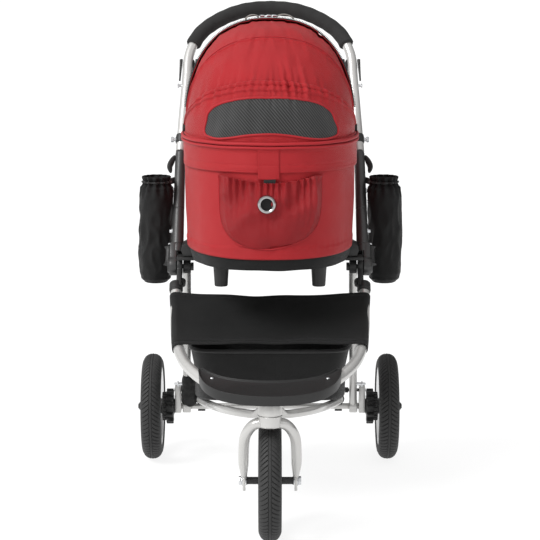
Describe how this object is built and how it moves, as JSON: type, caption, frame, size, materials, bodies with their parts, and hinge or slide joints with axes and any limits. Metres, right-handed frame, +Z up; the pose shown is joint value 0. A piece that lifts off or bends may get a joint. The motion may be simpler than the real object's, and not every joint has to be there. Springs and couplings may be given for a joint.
{
  "type": "jogging stroller",
  "caption": "Three-wheeled folding stroller with a swivelling front fork, a hooded lift-off cot, a looped push handle, a parking brake, a front apron, a basket and side pouches.",
  "frame": {"origin": "on the ground under the centre of the bounding box", "axes": "+Z up; -Y is the way the stroller rolls, with the front wheel at -Y and the push handle at +Y; -X is the left side as seen from the front"},
  "size_m": [0.578, 0.8438, 0.9915],
  "materials": {
    "silver_tube": "satin silver lacquer",
    "rim": "satin",
    "steel": "zinc plated",
    "sleeve": "semi-matt black",
    "black_plastic": "fine texture",
    "foam": "closed-cell foam",
    "tread": "moulded",
    "red_fabric": "plain weave, lightly coated",
    "black_fabric": "plain weave, lightly coated"
  },
  "bodies": {
    "frame": {"front_frame_tube": "silver_tube", "head_tube": "silver_tube", "lower_tube_left": "silver_tube", "lower_tube_right": "silver_tube", "axle_saddle_left": "black_plastic", "axle_saddle_right": "black_plastic", "footplate": "black_plastic", "front_panel": "black_fabric", "basket": "black_fabric", "frame_hub_left": "black_plastic", "frame_hub_right": "black_plastic", "pivot_bolt_left": "steel", "pivot_bolt_right": "steel"},
    "handle": {"handle_bar": "silver_tube", "handle_grip": "foam", "side_sleeve_left": "sleeve", "side_sleeve_right": "sleeve", "sleeve_bolt_left": "steel", "sleeve_bolt_right": "steel", "pouch_left": "black_fabric", "pouch_right": "black_fabric"},
    "slider_left": {"release_slider_left": "black_plastic"},
    "slider_right": {"release_slider_right": "black_plastic"},
    "rear_frame": {"rear_leg_left": "silver_tube", "rear_leg_right": "silver_tube", "rear_axle": "silver_tube", "brake_guide_left": "silver_tube", "brake_guide_right": "silver_tube", "axle_cap_left": "steel", "axle_cap_right": "steel"},
    "rear_wheel_left": {"rear_tyre_left": "tread", "rear_rim_left": "rim", "brake_ring_left": "black_plastic"},
    "rear_wheel_right": {"rear_tyre_right": "tread", "rear_rim_right": "rim", "brake_ring_right": "black_plastic"},
    "pedal": {"brake_pedal": "black_plastic"},
    "pin_left": {"brake_pin_left": "black_plastic"},
    "pin_right": {"brake_pin_right": "black_plastic"},
    "fork": {"front_fork": "silver_tube", "front_axle": "steel", "front_axle_nut_left": "steel", "front_axle_nut_right": "steel"},
    "front_wheel": {"front_tyre": "tread", "front_rim": "rim", "front_hub": "black_plastic"},
    "cot": {"cot_wall": "red_fabric", "cot_rim": "red_fabric", "cot_base": "black_plastic", "cot_mattress": "black_fabric", "hood_rear": "red_fabric", "hood_panel_top": "red_fabric", "hood_hoop_90": "black_plastic", "hood_hinge_left": "black_plastic", "hood_hinge_right": "black_plastic"},
    "hood_mid": {"hood_panel_mid": "red_fabric", "hood_hoop_60": "black_plastic"},
    "hood_low": {"hood_panel_low": "red_fabric", "hood_hoop_30": "black_plastic"}
  },
  "joints": [
    {"name": "handle_fold", "type": "hinge", "parent": "frame", "child": "handle", "pos_m": [0, 0.013, 0.472], "axis": [1, 0, 0], "range_deg": [0, 135]},
    {"name": "rear_fold", "type": "hinge", "parent": "frame", "child": "rear_frame", "pos_m": [0, 0.013, 0.472], "axis": [1, 0, 0], "range_deg": [-55, 0]},
    {"name": "release_left", "type": "slide", "parent": "handle", "child": "slider_left", "axis": [0, 0.6157, 0.788], "range_m": [0, 0.01], "stiffness_N_per_m": 60, "springref_m": -0.015},
    {"name": "release_right", "type": "slide", "parent": "handle", "child": "slider_right", "axis": [0, 0.6157, 0.788], "range_m": [0, 0.01], "stiffness_N_per_m": 60, "springref_m": -0.015},
    {"name": "rear_wheel_left_spin", "type": "hinge", "parent": "rear_frame", "child": "rear_wheel_left", "pos_m": [-0.256, 0.293, 0.115], "axis": [1, 0, 0], "continuous": true},
    {"name": "rear_wheel_right_spin", "type": "hinge", "parent": "rear_frame", "child": "rear_wheel_right", "pos_m": [0.256, 0.293, 0.115], "axis": [1, 0, 0], "continuous": true},
    {"name": "brake_press", "type": "hinge", "parent": "rear_frame", "child": "pedal", "pos_m": [0, 0.293, 0.115], "axis": [-1, 0, 0], "range_deg": [0, 15]},
    {"name": "brake_pin_left_slide", "type": "slide", "parent": "rear_frame", "child": "pin_left", "axis": [-1, 0, 0], "range_m": [0, 0.0121]},
    {"name": "brake_pin_right_slide", "type": "slide", "parent": "rear_frame", "child": "pin_right", "axis": [1, 0, 0], "range_m": [0, 0.0121]},
    {"name": "fork_swivel", "type": "hinge", "parent": "frame", "child": "fork", "pos_m": [0, -0.371, 0.26], "axis": [0, 0, 1], "continuous": true},
    {"name": "front_wheel_spin", "type": "hinge", "parent": "fork", "child": "front_wheel", "pos_m": [0, -0.307, 0.115], "axis": [1, 0, 0], "continuous": true},
    {"name": "cot_lift", "type": "slide", "parent": "frame", "child": "cot", "axis": [0, 0, 1], "range_m": [0, 0.35]},
    {"name": "hood_mid_turn", "type": "hinge", "parent": "cot", "child": "hood_mid", "pos_m": [0, -0.007, 0.752], "axis": [-1, 0, 0], "range_deg": [0, 30]},
    {"name": "hood_low_turn", "type": "hinge", "parent": "hood_mid", "child": "hood_low", "pos_m": [0, -0.007, 0.752], "axis": [-1, 0, 0], "range_deg": [0, 30]}
  ],
  "couplings": [
    {"joint": "rear_fold", "follows": "handle_fold", "ratio": -0.40741},
    {"joint": "release_right", "follows": "release_left", "ratio": 1},
    {"joint": "brake_pin_left_slide", "follows": "brake_press", "m_per_rad": 0.0458},
    {"joint": "brake_pin_right_slide", "follows": "brake_press", "m_per_rad": 0.0458},
    {"joint": "hood_low_turn", "follows": "hood_mid_turn", "ratio": 1}
  ]
}
